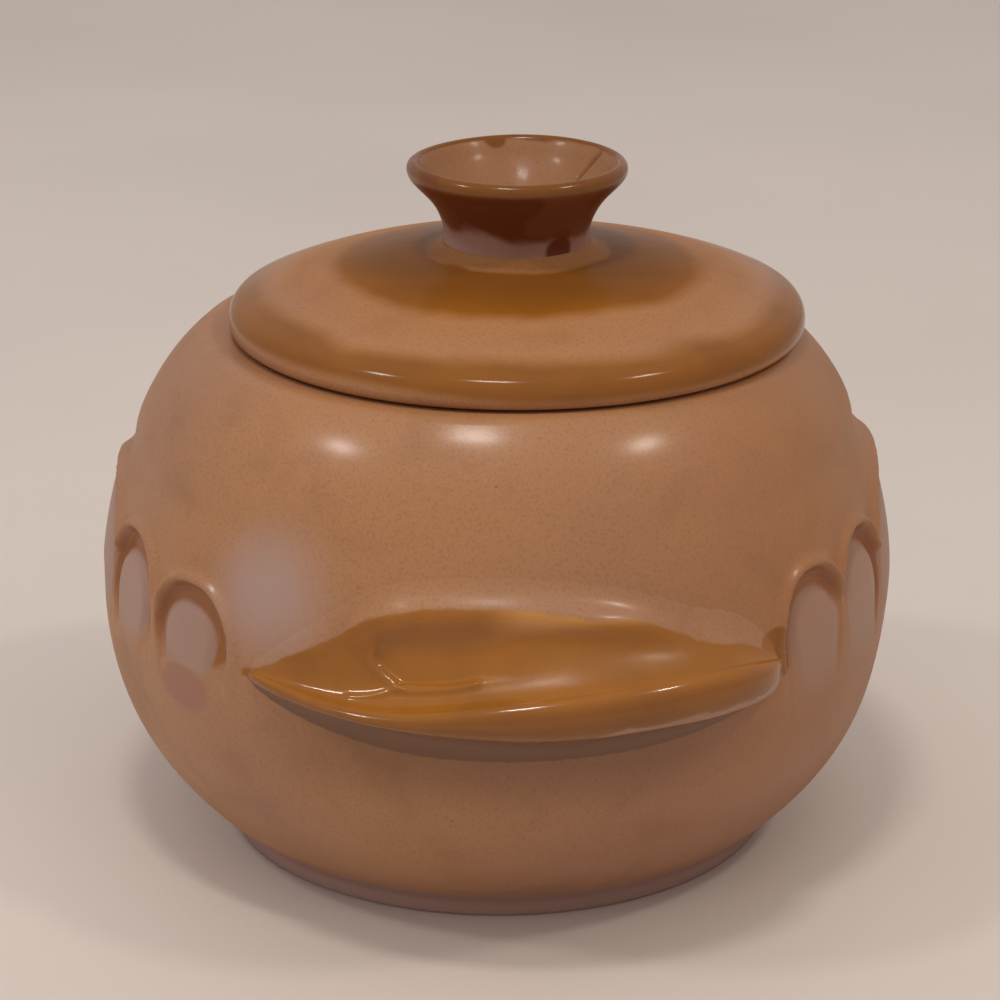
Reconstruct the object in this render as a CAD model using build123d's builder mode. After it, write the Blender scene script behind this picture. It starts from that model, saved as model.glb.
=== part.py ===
from build123d import *
import os
from math import cos, radians, sin

# Stoneware bean pot: a round pot with two ledge lugs and arched relief on its sides,
# and a lift-off lid with a hollow knob. Millimetres, +Z up, origin on the table under
# the pot's axis, front lug towards -Y. Azimuths are measured about that axis from -Y,
# positive towards +X.

os.makedirs("parts", exist_ok=True)

# Pot wall, outside, from the foot to the shoulder: radius and height
wall_points = [
    (66, 4),
    (78.6, 15.5),
    (89.3, 32),
    (95, 61),
    (91.6, 84.5),
    (83.6, 106),
    (77.9, 114.8),
    (71.2, 121.4),
]
wall = 6.5
floor_top = 11.0
floor_radius = 58.0
foot_width = 10.0
foot_recess = 3.5
foot_round = 1.2
seat_round = 0.6
mouth_round = 1.5

# Seat that the lid rests on, and the mouth inside it
seat_height = 122.5
seat_radius = 70.4
mouth_radius = 58.0
mouth_low = 113.5
cavity_shares = [0.14, 0.3, 0.46, 0.62, 0.78, 0.88]

# Arched relief on each side: azimuth from the middle of that side, half width and top
arches = [(-41.6, 12.4, 80.0), (-26.8, 10.9, 84.5), (0, 33.0, 88.5), (26.8, 10.9, 84.5), (41.6, 12.4, 80.0)]
arch_spring = 64.0
arch_foot = 50.0
arch_start = 75.0
arch_reach = 30.0
rim_width = 2.6
rim_height = 1.2
carving_depth = 1.7
relief_ends = 57.0
relief_fade = 16.0
relief_tail = -0.4
relief_shares = [0.3, 0.38, 0.46, 0.54, 0.62, 0.7, 0.78, 0.86]

# Ledge lug: stations along it as azimuth, height where its top meets the wall, radius of
# its lip, and heights of the lip's lower and upper edge
lug_stations = [
    (-38.5, 69.0, 97.0, 64.4, 67.2),
    (-30, 72.5, 100.0, 63.4, 66.4),
    (-20, 79.0, 103.2, 62.2, 66.0),
    (-8, 85.0, 106.2, 61.4, 67.4),
    (4, 84.5, 107.8, 60.8, 70.4),
    (16, 79.5, 107.2, 61.0, 71.6),
    (28, 74.5, 104.8, 60.6, 71.2),
    (34, 71.5, 102.0, 60.4, 69.4),
    (38.8, 69.0, 97.0, 61.0, 67.2),
]
lip_nose = 3.4
lug_root_depth = 5.0
lug_root_rise = 3.0
lug_sink = 0.15
lug_lift = 2.2
lug_sweep = (0.42, 0.36)
tip_shelf = 0.4
lug_under_drop = 11.0
lug_reach = 12.0
lug_under_root = 86.0

# Lid: a shallow dome with an upright side. It sits a little to one side on its wide seat,
# and its points are measured from its own axis.
lid_shift = 4.4
lid_clearance = 0.3
lid_bottom = seat_height + lid_clearance
lid_radius = 68.0
lid_chamfer = 1.6
lid_side_top = 127.0
lid_shoulder_middle = (67.3, 129.2)
lid_shoulder = (65.2, 130.6)
lid_crown = (43.0, 137.2)
knob_seat = (20.4, 140.6)
lid_pad_inner = 46.5
lid_hollow_crown = 134.6

# Locating ring under the lid
flange_outer = 51.6
flange_inner = 47.6
flange_depth = 9.0
flange_round = 1.2

# Knob: a hollow flared cup on a short neck, radius and height of each point
knob_outside = [(20.4, 140.6), (17.6, 142.4), (17.2, 145.4), (19.3, 151.6), (23.8, 156.8)]
knob_lip = [(25.9, 160.2), (24.9, 162.9), (22.8, 162.0)]
knob_inside = [(22.8, 162.0), (19.6, 158.0), (16.4, 153.8), (13.2, 149.8), (8.0, 146.4), (0, 145.2)]


def sector_plane(azimuth):
    """Upright plane through the pot's axis: x runs outward at the azimuth, y runs up."""
    outward = (sin(radians(azimuth)), -cos(radians(azimuth)), 0)
    backward = (-cos(radians(azimuth)), -sin(radians(azimuth)), 0)
    return Plane(origin=(0, 0, 0), x_dir=outward, z_dir=backward)


def side_plane(azimuth):
    """Upright plane that faces outward at the azimuth, inside the wall: x runs round the pot, y runs up."""
    outward = Vector(sin(radians(azimuth)), -cos(radians(azimuth)), 0)
    around = (cos(radians(azimuth)), sin(radians(azimuth)), 0)
    return Plane(origin=outward * arch_start, x_dir=around, z_dir=outward)


# The lid's own axis, and the upright plane through it that its outlines are drawn on
lid_axis = Axis((lid_shift, 0, 0), (0, 0, 1))
lid_plane = Plane(origin=(lid_shift, 0, 0), x_dir=(1, 0, 0), z_dir=(0, -1, 0))

# Free line up the outside of the wall, used to read the wall's shape at a share of its length
outer_wall = Spline(*wall_points)


def relief_points(rise):
    """Points up the wall, moved outward by rise at full relief and slightly the other way where it ends."""
    points = []
    for share in relief_shares:
        spot = outer_wall @ share
        fade = min(1, max(relief_tail, (spot.Y - relief_ends) / relief_fade))
        points.append((spot.X + rise * fade, spot.Y))
    return points


def wall_radius(height):
    """Radius of the outside of the wall at a height, found by halving."""
    low, high = 0.0, 1.0
    for _ in range(30):
        middle = (low + high) / 2
        if (outer_wall @ middle).Y < height:
            low = middle
        else:
            high = middle
    return (outer_wall @ low).X


def cavity_points():
    """Points up the inside of the wall, one wall thickness in from the outside."""
    points = []
    for share in cavity_shares:
        along = outer_wall % share
        inward = Vector(-along.Y, along.X)
        points.append(outer_wall @ share + inward * wall)
    return points


# The pot's plain outer form, solid, which also trims the lugs
with BuildPart() as blank:
    with BuildSketch(Plane.XZ):
        with BuildLine():
            Polyline((0, 0), (wall_points[0][0], 0), wall_points[0])
            Spline(*wall_points)
            Polyline(wall_points[-1], (seat_radius, seat_height), (0, seat_height), (0, 0))
        make_face()
    revolve(axis=Axis.Z)
    fillet(blank.faces().sort_by(Axis.Z)[0].edges(), foot_round)
    fillet(blank.faces().sort_by(Axis.Z)[-1].edges(), seat_round)

# Raised rims round the arches: wide arches kept only within a slightly larger form
with BuildPart() as rims:
    for side in (90, -90):
        for azimuth, half_width, top in arches:
            with BuildSketch(side_plane(side + azimuth)):
                with Locations((0, arch_spring)):
                    Ellipse(half_width + rim_width, top + rim_width - arch_spring)
                with Locations((0, (arch_spring + arch_foot) / 2)):
                    Rectangle(2 * (half_width + rim_width), arch_spring - arch_foot)
            extrude(amount=arch_reach)
    with BuildSketch(Plane.XZ):
        with BuildLine():
            swollen = relief_points(rim_height)
            Spline(*swollen)
            Polyline(swollen[-1], (0, swollen[-1][1]), (0, swollen[0][1]), swollen[0])
        make_face()
    revolve(axis=Axis.Z, mode=Mode.INTERSECT)

# Clay taken off inside the rims, down to a slightly smaller form
with BuildPart() as carving:
    for side in (90, -90):
        for azimuth, half_width, top in arches:
            with BuildSketch(side_plane(side + azimuth)):
                with Locations((0, arch_spring)):
                    Ellipse(half_width, top - arch_spring)
                with Locations((0, (arch_spring + arch_foot) / 2)):
                    Rectangle(2 * half_width, arch_spring - arch_foot)
            extrude(amount=arch_reach)
    with BuildSketch(Plane.XZ):
        with BuildLine():
            shrunk = relief_points(-carving_depth)
            Spline(*shrunk)
            Polyline(shrunk[-1], (0, shrunk[-1][1]), (0, shrunk[0][1]), shrunk[0])
        make_face()
    revolve(axis=Axis.Z, mode=Mode.SUBTRACT)

# Pot: wall, floor, foot ring, seat and relief
with BuildPart() as pot_body:
    add(blank.part)
    add(rims.part)
    add(carving.part, mode=Mode.SUBTRACT)
    with BuildSketch(Plane.XZ):
        with BuildLine():
            inside = cavity_points()
            Line((0, floor_top), (floor_radius, floor_top))
            Spline((floor_radius, floor_top), *inside)
            Polyline(inside[-1], (mouth_radius, mouth_low), (mouth_radius, seat_height), (0, seat_height))
            Line((0, seat_height), (0, floor_top))
        make_face()
    revolve(axis=Axis.Z, mode=Mode.SUBTRACT)
    with BuildSketch(Plane.XY):
        Circle(wall_points[0][0] - foot_width)
    extrude(amount=foot_recess, mode=Mode.SUBTRACT)
    fillet(pot_body.faces().sort_by(Axis.Z)[-1].edges().sort_by(SortBy.RADIUS)[0], mouth_round)

pot_body.part.label = "pot_body"
export_step(pot_body.part, "parts/pot_body.step")

# Ledge lug: a crescent shelf with a swept top and a hollow underside, trimmed to the wall
with BuildPart() as front_lug:
    for azimuth, junction, lip, sill, top_edge in lug_stations:
        under = sill - lug_under_drop * (lip - lug_stations[0][2]) / lug_reach
        edge = wall_radius(junction)
        sunk = (wall_radius(junction + lug_lift) - lug_sink, junction + lug_lift)
        nose_start = max(lip - lip_nose, edge + tip_shelf)
        crest = (nose_start, top_edge)
        middle = (
            edge + lug_sweep[0] * (nose_start - edge),
            top_edge + lug_sweep[1] * (junction - top_edge),
        )
        with BuildSketch(sector_plane(azimuth)):
            with BuildLine():
                root = Line((edge - lug_root_depth, junction + lug_root_rise), sunk)
                top = Spline(sunk, middle, crest)
                nose = ThreePointArc(top @ 1, (lip, (sill + top_edge) / 2), (nose_start, sill))
                bottom = Spline(nose @ 1, (lug_under_root, under), tangents=((-1, -0.05), (-1, -1)))
                Line(bottom @ 1, root @ 0)
            make_face()
    loft()
    add(blank.part, mode=Mode.SUBTRACT)

front_lug.part.label = "front_lug"
export_step(front_lug.part, "parts/front_lug.step")

# The rear lug is the front one turned half round the pot
with BuildPart() as rear_lug:
    add(front_lug.part.rotate(Axis.Z, 180))

rear_lug.part.label = "rear_lug"
export_step(rear_lug.part, "parts/rear_lug.step")

# Lid: dome outside, flat pad below its rim, shallow hollow in the middle
with BuildPart() as lid:
    with BuildSketch(lid_plane):
        with BuildLine():
            Polyline((lid_pad_inner, lid_bottom), (lid_radius - lid_chamfer, lid_bottom),
                     (lid_radius, lid_bottom + lid_chamfer), (lid_radius, lid_side_top))
            ThreePointArc((lid_radius, lid_side_top), lid_shoulder_middle, lid_shoulder)
            ThreePointArc(lid_shoulder, lid_crown, knob_seat)
            Polyline(knob_seat, (0, knob_seat[1]), (0, lid_hollow_crown))
            Spline((0, lid_hollow_crown), (lid_pad_inner, lid_bottom), tangents=((1, 0), (0.35, -1)))
        make_face()
    revolve(axis=lid_axis)

lid.part.label = "lid"
export_step(lid.part, "parts/lid.step")

# Locating ring, which drops into the mouth and keeps the lid from sliding off
with BuildPart() as lid_flange:
    with BuildSketch(Plane.XY.offset(lid_bottom)):
        with Locations((lid_shift, 0)):
            Circle(flange_outer)
            Circle(flange_inner, mode=Mode.SUBTRACT)
    extrude(amount=-flange_depth)
    fillet(lid_flange.faces().sort_by(Axis.Z)[0].edges(), flange_round)

lid_flange.part.label = "lid_flange"
export_step(lid_flange.part, "parts/lid_flange.step")

# Knob: hollow flared cup
with BuildPart() as lid_knob:
    with BuildSketch(lid_plane):
        with BuildLine():
            Line((0, knob_outside[0][1]), knob_outside[0])
            Spline(*knob_outside)
            Spline(knob_outside[-1], *knob_lip)
            Spline(*knob_inside)
            Line(knob_inside[-1], (0, knob_outside[0][1]))
        make_face()
    revolve(axis=lid_axis)

lid_knob.part.label = "lid_knob"
export_step(lid_knob.part, "parts/lid_knob.step")
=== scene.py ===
import bpy
import math
from collections import namedtuple
import numpy as np
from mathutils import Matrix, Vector


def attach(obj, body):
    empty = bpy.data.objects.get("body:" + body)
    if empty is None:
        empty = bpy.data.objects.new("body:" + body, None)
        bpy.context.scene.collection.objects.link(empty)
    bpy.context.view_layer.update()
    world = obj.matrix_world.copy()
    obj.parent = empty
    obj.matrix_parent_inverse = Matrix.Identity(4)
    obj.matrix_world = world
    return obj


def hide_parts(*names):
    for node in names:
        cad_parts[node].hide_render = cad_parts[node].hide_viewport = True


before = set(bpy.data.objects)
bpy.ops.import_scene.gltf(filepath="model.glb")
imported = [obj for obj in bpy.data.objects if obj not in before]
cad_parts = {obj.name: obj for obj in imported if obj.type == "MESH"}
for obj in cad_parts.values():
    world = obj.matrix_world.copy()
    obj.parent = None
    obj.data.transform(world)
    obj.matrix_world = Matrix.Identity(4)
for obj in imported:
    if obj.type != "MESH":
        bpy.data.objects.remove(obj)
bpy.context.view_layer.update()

# Lengths are millimetres unless a comment says metres, with the table at height zero. Azimuths
# are degrees about the pot's upright axis from -Y, positive towards +X. A pair that is given
# to ease runs from where a share is 0 to where it is 1.
MM = 0.001

# Camera: distance from the axis, height, turn round the pot, pitch, pan, lens and film width
CAMERA_DISTANCE = 760.0
CAMERA_HEIGHT = 351.5
CAMERA_AZIMUTH = -2.0
CAMERA_PITCH = 19.76
CAMERA_PAN = 0.034
CAMERA_LENS = 120.5
FILM_WIDTH = 36.0

# Lamps, in metres and watts: small ones for the highlights, and wide ones that no gloss shows
Lamp = namedtuple("Lamp", "name place size watts color in_gloss", defaults=(True,))
LAMPS = [
    Lamp("front_left", (-1.18, -0.40, 1.5), (0.24, 0.12), 4.4, (1.0, 0.96, 0.92)),
    Lamp("front_middle", (-0.15, -0.447, 1.5), (0.24, 0.12), 4.4, (1.0, 0.96, 0.91)),
    Lamp("front_right", (1.025, -0.475, 1.5), (0.24, 0.12), 4.4, (1.0, 0.90, 0.78)),
    Lamp("window", (-1.9, -0.55, 0.5), (0.9, 0.8), 4, (0.74, 0.84, 1.0), False),
    Lamp("overhead", (0.1, -0.8, 1.8), (1.8, 1.8), 5.0, (1.0, 0.95, 0.9), False),
]
ROOM_STRENGTH = 0.61

# Place that the lamps point at, and half the floor's width, in metres
LAMP_TARGET = (0, 0, 0.09)
FLOOR_HALF = 4.0

# Pot wall, outside, from the foot to the shoulder: radius and height
WALL = [(66, 4), (78.6, 15.5), (89.3, 32), (95, 61), (91.6, 84.5), (83.6, 106), (77.9, 114.8),
        (71.2, 121.4)]
LARGEST_RADIUS = max(radius for radius, height in WALL) - 0.1

# The inside follows this stretch of the wall, as shares of its length
CAVITY_SHARES = (0.14, 0.88)
WALL_THICKNESS = 6.5
FOOT = [(0, 3.5), (30, 3.5), (55.2, 3.5), (55.9, 3.2), (56, 2.6), (56.1, 0.8), (56.9, 0), (60, 0),
        (65, 0), (65.7, 0.3), (66, 1), (66, 2.4), (66.1, 3.9)]
SEAT = [(71, 121.6), (70.3, 122), (69.4, 122.3), (68.2, 122.5), (66, 122.5), (62, 122.5),
        (59.6, 122.5), (58.6, 122.1), (58.1, 121.3), (58, 120), (58, 117), (58, 114.4),
        (58.5, 113.6), (60.5, 112.6)]
CAVITY_FLOOR = [(60.5, 15.5), (58.2, 12.4), (54, 11.2), (48, 11), (24, 11), (0, 11)]

# Rows up the wall as start, end and step, the shoulder's even rows, and the inside's spacing
WALL_ROWS = [(5, 50, 2.5), (50, 60, 1.0), (60, 94, 0.52)]
SHOULDER_ROWS = (94.5, 121.2, 15)
CAVITY_SPACING = 6.0

# Columns round the pot: where the sides' close ones start and widen, and the steps
SIDE_START = 38
CROWN_START = 76
LEG_STEP = 0.32
CROWN_STEP = 0.8
FRONT_STEP = 3.0

# Arched relief for each side's azimuth, which an arch's middle is measured from. A dark band
# runs inside its outline, as wide as crown at the top, and as low_leg and high_leg along the
# legs towards lower and higher azimuths. Its face swells back that share of the carving's depth.
Arch = namedtuple("Arch", "middle half_width top crown low_leg high_leg swell depth",
                  defaults=(0.8, 1.7))
ARCHES = {
    90: [Arch(-42.3, 11.8, 83.2, 4.6, 2.4, 1.2),
         Arch(-28.0, 12.4, 85.9, 2.8, 2.4, 1.5),
         Arch(0, 36.0, 92.0, 2.0, 4.6, 1.8, 1.6, 0.3),
         Arch(27.0, 12.2, 84.5, 3.6, 1.5, 1.5),
         Arch(41.6, 12.4, 80.6, 4.4, 1.5, 1.5)],
    -90: [Arch(-41.2, 12.6, 82.0, 4.8, 1.8, 1.5),
          Arch(-24.6, 13.0, 85.0, 4.4, 1.5, 1.5),
          Arch(0, 28.5, 89.4, 1.6, 1.5, 4.2, 2.8, 0.3),
          Arch(23.4, 13.2, 84.8, 6.0, 1.5, 3.4),
          Arch(40.5, 13.1, 80.6, 5.4, 1.0, 4.0)],
}

# Height where legs turn into crowns, the crowns' rounding, and how far the legs draw in below
ARCH_SPRING = 64.0
ARCH_POWER = 2.4
LEG_DRAW_IN = 1.2
DRAW_IN_HEIGHTS = (70, 60)

# Raised rim outside each arch's outline: height, distance out, and spread inward and outward
RIM_HEIGHT = 1.5
RIM_GAP = 1.2
RIM_INWARD = 0.75
RIM_OUTWARD = 1.7

# Distances past an arch's outline where the carving, the pooled glaze and the rim start, and
# past its band's inner edge where the face swells, the pool ends and the face's colour starts.
# Then what counts as far outside, and how deep another arch's carving keeps a face down.
CARVING_START = (0.5, -1.0)
POOL_START = (0.9, -0.5)
RIM_CLEAR = (-1.0, 0.4)
FACE_SWELL = (0.4, -3.4)
POOL_END = (-1.2, 0.4)
FACE_START = (0.2, -1.0)
FAR_GAP = 30.0
DEEP_CARVING = (-0.8, 0)

# Heights where relief, pooled glaze and the faces' colour fade out. A face's lower edge is
# rounded: it lies lower by a share of the distance from the arch's outline, up to a reach.
RELIEF_FADE = (55, 68)
POOL_FADE = (62, 70)
FACE_FADE_RIGHT = (53, 68)
FACE_FADE_LEFT = (61.5, 68)
FACE_ROUNDING = 0.5
ROUNDING_REACH = 9

# Two legs on the right have run together: where, and heights where relief and pool fade there
MERGED_AZIMUTH = 60
MERGED_REACH = (9, 5)
MERGED_RELIEF = (80, 71)
MERGED_POOL = (80, 72)

# Hollows of a hand-thrown wall: azimuth, height, half width in degrees, half height and depth
HOLLOWS = [(-90, 95.6, 40, 4, 1.2), (90, 100.0, 40, 4.2, 1.5), (90, 48, 45, 18, 1.2)]

# Wobble of the wall, always inward: sink all over, swing, and heights where the swing fades
WOBBLE_SINK = 0.1
WOBBLE = 0.07
WOBBLE_START = (6, 30)
WOBBLE_END = (120, 108)

# At the seat and at the foot the hollows and the wobble fade out
SEAT_CLEAR = (121, 118)
FOOT_CLEAR = (5, 9)

# Front lug by stations: azimuth, height where its top meets the wall, its lip's radius, heights
# of the lip's lower and upper edge, and height where its underside meets the wall
Station = namedtuple("Station", "azimuth junction lip sill top_edge under")
LUG = [Station(*row) for row in (
    (-38.8, 66.4, 93.6, 64.0, 65.6, 63.2),
    (-36.0, 67.8, 96.6, 64.0, 66.4, 60.5),
    (-31.0, 71.6, 99.4, 63.4, 66.4, 57.0),
    (-25.0, 77.2, 101.8, 62.7, 65.9, 54.0),
    (-19.0, 82.6, 104.0, 62.2, 65.9, 52.0),
    (-12.5, 85.0, 105.6, 61.7, 66.6, 50.6),
    (-5.0, 85.6, 106.8, 61.3, 68.6, 50.0),
    (3.0, 85.0, 107.5, 60.9, 70.3, 50.0),
    (11.0, 83.0, 107.3, 61.0, 71.4, 50.4),
    (18.5, 80.6, 106.5, 61.2, 71.8, 51.2),
    (24.0, 76.8, 105.3, 60.8, 71.6, 52.4),
    (29.5, 73.8, 103.4, 60.4, 70.8, 54.4),
    (35.0, 70.8, 100.2, 60.0, 68.8, 57.0),
    (38.2, 68.6, 97.2, 60.6, 67.2, 59.5),
    (41.0, 66.6, 93.6, 62.6, 65.6, 62.0),
)]

# Azimuths between the lug's columns, and rows of its top, underside, nose and hidden back
LUG_STEP = 0.3
TOP_ROWS = 90
UNDER_ROWS = 24
NOSE_ROWS = 21
BACK_ROWS = 6

# Radius at which distances along the lug are measured, and the slope of a distance down it
LUG_RADIUS = 98.0
SLANT = math.sqrt(0.5)

# Radius of the lip's nose at the lug's ends and where the lug reaches fully out of the wall
SMALL_NOSE = 0.5
LIP_NOSE = 3.4
FULL_REACH = (-1.0, 9.0)

# How far above its seam the lug's top starts, also where it reaches out, and how deep its
# edges and its hidden back lie in the wall
START_ABOVE = 1.0
START_GAIN = 8.0
EDGE_SINK = 0.2
BACK_SINK = 2.5

# Curves of the top and the underside: shares of the way to the bend and to the crest, lift off
# the wall and tilt at the crest
BEND_SHARE = 0.45
CREST_SHARE = 0.5
BEND_LIFT = 1.0
LIFT_LOSS = 0.8
LIFT_RANGE = (6, 20)
CREST_TILT = 0.04
TILT_GAIN = 0.26
TILT_RANGE = (-4, 12)
UNDER_SHARES = (0.45, 0.5, 0.10)

# Soft swelling along the lug's seam: height, spread, distance past the seam, and azimuths
SEAM_SWELLING = 2.3
SWELLING_SPREAD = 3.7
SWELLING_SHIFT = 1.0
SWELLING_RISE = (-24, -13)
SWELLING_FALL = (27, 10)

# Thumb dish: the ridge round its end and a branch, as azimuth and slant, which is the radius
# less the height and grows from the wall to the lip
DISH_RIDGE = [(-17.6, 16.2), (-18.6, 17.8), (-18.9, 19.4), (-18.5, 21.4), (-17.5, 23.8),
              (-16.0, 25.9), (-14.7, 27.8), (-13.4, 28.5), (-10.6, 28.3), (-7.7, 27.9),
              (-5.8, 27.1), (-4.7, 26.5)]
DISH_BRANCH = [(-14.7, 28.0), (-15.9, 28.9), (-17.5, 30.3), (-19.5, 31.3), (-21.2, 31.6)]
DISH_DEPTH = 0.8
DISH_EDGE = (0.1, 2.2)
DISH_RIGHT = (4, -14)
DISH_START = (8.5, 13)
RIDGE_HEIGHT = 0.55
RIDGE_SPREAD = 0.9
RIDGE_START = (-0.4, 3.0)
BRANCH_HEIGHT = 0.4
BRANCH_SPREAD = 0.8

# The dish stays clear of the lug's edge on the wall and of its thin ends
WALL_CLEAR = (0.1, 0.8)
END_CLEAR = (1.0, 5.0)

# Marks for amber are kept up to this many millimetres from its edge
GLAZE_REACH = 3.0

# Amber past the lug's last station and above its sill. On the lug's top its edge rises by a
# share of how far the top stands out of the wall, up to a reach.
AMBER_PAST_END = 0.8
AMBER_ABOVE_SILL = 0.6
AMBER_RISE = 0.36
RISE_REACH = 6

# Where the amber ends on the lip's front, as azimuth and degrees above its middle
AMBER_ENDS = [(-40, -70), (4, -68), (8, -58), (12, -46), (18, -38), (26, -34), (31, -24), (42, 0)]

# Amber that ran along the arches' legs at the lug's two ends: azimuth, height, half sizes, bow
RUNS = [(-42.6, 71.4, 1.7, 5.4, 1.0), (38.4, 69.4, 5.2, 4.6, -0.2)]

# Deep amber on the lip's front from its upper edge down, painted shade where the face turns from
# the lamps, in degrees above its middle
SHADED_LIP = (62, 22)

# Painted reflection: a pale strip above the shelf, where its hollow curve mirrors the bright room,
# as distance along the lug and slant
REFLECTION_STRIP_ALONG = ((-8, 4), (40, 26))
REFLECTION_STRIP_SLANT = ((3, 6), (14, 10))

# The shelf's right half, with thin, dull glaze: distance along the lug, slant and radius, its
# pale and deep shares, and where the deep one sets in
SHELF_ALONG = ((-26, 4), (60, 36))
SHELF_SLANT = (12, 18)
SHELF_RADIUS = (104.0, 100.5)
SHELF_PALE = 0.15
SHELF_DEEP = 0.9
SHELF_DEEP_START = (0, 26)

# Painted reflection: a pale mauve spot left of the front lug that stands for a window mirrored in
# the glaze; and a brown patch under the first arch there
Spot = namedtuple("Spot", "azimuth height half_turn half_height")
WINDOW_REFLECTION = Spot(-35.5, 84, 11, 17)
WINDOW_REFLECTION_EDGE = (1.2, 0.1)
PATCH = Spot(-50.8, 56.0, 5.2, 5.4)
PATCH_EDGE = (1.15, 0.85)

# Painted shade on the wall under the lug: azimuth off its middle, and heights where it starts and
# ends
LUG_SHADE_TURN = (40, 18)
LUG_SHADE_START = (36, 50)
LUG_SHADE_END = (68, 58)

# The lid sits a little towards +X on its seat; its points are measured from its own axis.
# Underside, side, edge, crown, the fillet at the knob's neck and the top hidden by the knob
LID_SHIFT = 4.4
LID_UNDER = [(0, 134.6), (10, 134.5), (20, 133.7), (30, 131.4), (38, 128.3), (43.6, 124.9),
             (46.5, 122.8)]
LID_SIDE = [(46.5, 122.8), (50, 122.8), (60, 122.8), (65.2, 122.8), (66.5, 123.05),
            (67.4, 123.6), (67.9, 124.5), (68, 125.6)]
LID_EDGE = [(68, 125.6), (67.9, 127.1), (67.4, 128.6), (66.5, 129.8), (65.2, 130.6)]
LID_CROWN = [(65.2, 130.6), (54.5, 134.4), (43, 137.2), (32, 139.3), (24.5, 140.4)]
LID_ROOT = [(24.5, 140.4), (21.8, 140.8), (19.9, 141.4), (18.4, 142.3), (17.5, 143.6)]
LID_TOP = [(15, 143.8), (13, 143.0), (0, 143.0)]
LID_STEP = 1.0

# Unevenness of the lid's edge, downward and inward, and where it sets in
LID_DROOP = 0.14
LID_PINCH = 0.06
LID_WAVE_RADII = (30, 64)
LID_WAVE_HEIGHTS = (126, 128)

# Knob: hollow flared cup on a short neck
KNOB_FOOT = [(0, 141.8), (10, 141.8), (17, 141.8)]
KNOB_OUTSIDE = [(17.3, 142.6), (17.2, 145.2), (17.8, 148.2), (19.4, 151.8), (23.0, 156.4)]
KNOB_LIP = [(25.0, 158.6), (25.9, 160.4), (25.8, 161.8), (24.7, 162.9), (23.2, 162.3)]
KNOB_INSIDE = [(23.2, 162.3), (22.3, 161.0), (21.0, 158.9), (19.2, 156.5), (16.6, 153.6),
               (13.0, 150.3), (8, 147.0), (0, 145.6)]
KNOB_STEP = 1.2

# Unevenness of the knob's neck, outward, and of its rim, downward and inward
NECK_START = (143, 147)
NECK_END = (158, 152)
RIM_START = (155, 162)
RIM_RADII = (16, 22)
RIM_DROOP = 0.22
RIM_PINCH = 0.12

# Crease inside the knob, as azimuth and radius, with its depth and half width
CREASE = [(117, 22.6), (121.4, 20.8), (126, 18.4)]
CREASE_DEPTH = 0.6
CREASE_WIDTH = 0.55

# Amber notch on the knob's rim: azimuth, radius, half sizes, and heights where it shows
NOTCH = (-168, 23.6)
NOTCH_SIZE = (3.4, 1.7)
NOTCH_EDGE = (1.1, 0.8)
NOTCH_HEIGHTS = (159, 160.5)

# Dark drip low on the knob's neck: azimuth, height and half size
DRIP_AZIMUTH = 32
DRIP_HEIGHT = 144.6
DRIP_SIZE = 3.6
DRIP_EDGE = (1.15, 0.8)


# -------- curves and meshes

def ease(value, low, high):
    """0 below low, 1 above high, and a smooth rise between. Low may be above high."""
    share = np.clip((np.asarray(value, float) - low) / (high - low), 0, 1)
    return share * share * (3 - 2 * share)


def turn_from(azimuth, middle):
    """Degrees from middle to azimuth, the short way round."""
    return (azimuth - middle + 180) % 360 - 180


def smooth_line(points, samples):
    """Points along the smooth curve through the given ones."""
    points = np.array(points, float)
    chords = np.linalg.norm(np.diff(points, axis=0), axis=1)
    knots = np.concatenate([[0], np.cumsum(chords)])
    steps = np.diff(knots)
    count = len(points)
    system = np.eye(count)
    target = np.zeros_like(points)
    for end, part in ((0, slice(0, 4)), (count - 1, slice(count - 4, count))):
        cubic = np.polyfit(knots[part], points[part], 3)
        target[end] = 3 * cubic[0] * knots[end] ** 2 + 2 * cubic[1] * knots[end] + cubic[2]
    for i in range(1, count - 1):
        before, after = steps[i - 1], steps[i]
        system[i, i - 1:i + 2] = after, 2 * (before + after), before
        target[i] = 3 * (after * (points[i] - points[i - 1]) / before
                         + before * (points[i + 1] - points[i]) / after)
    slopes = np.linalg.solve(system, target)
    at = np.linspace(0, knots[-1], samples)
    span = np.clip(np.searchsorted(knots, at, side="right") - 1, 0, count - 2)
    step = steps[span][:, None]
    t = ((at - knots[span]) / steps[span])[:, None]
    return ((1 + 2 * t) * (1 - t) ** 2 * points[span] + t * (1 - t) ** 2 * step * slopes[span]
            + t * t * (3 - 2 * t) * points[span + 1] - t * t * (1 - t) * step * slopes[span + 1])


def resampled(points, spacing):
    """The same run of points at an even spacing along it, ends kept."""
    points = np.array(points, float)
    chords = np.linalg.norm(np.diff(points, axis=0), axis=1)
    lengths = np.concatenate([[0], np.cumsum(chords)])
    at = np.linspace(0, lengths[-1], max(2, int(round(lengths[-1] / spacing)) + 1))
    return np.stack([np.interp(at, lengths, values) for values in points.T], 1)


def curved(points, spacing, samples=200):
    """Evenly spaced points along the smooth curve through the given ones."""
    return resampled(smooth_line(points, samples), spacing)


def joined(*runs):
    """Runs of profile points end to end, without the repeated point where two meet."""
    line = [np.array(runs[0], float)]
    for run in runs[1:]:
        run = np.array(run, float)
        if np.linalg.norm(run[0] - line[-1][-1]) < 0.01:
            run = run[1:]
        line.append(run)
    return np.concatenate(line)


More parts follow.
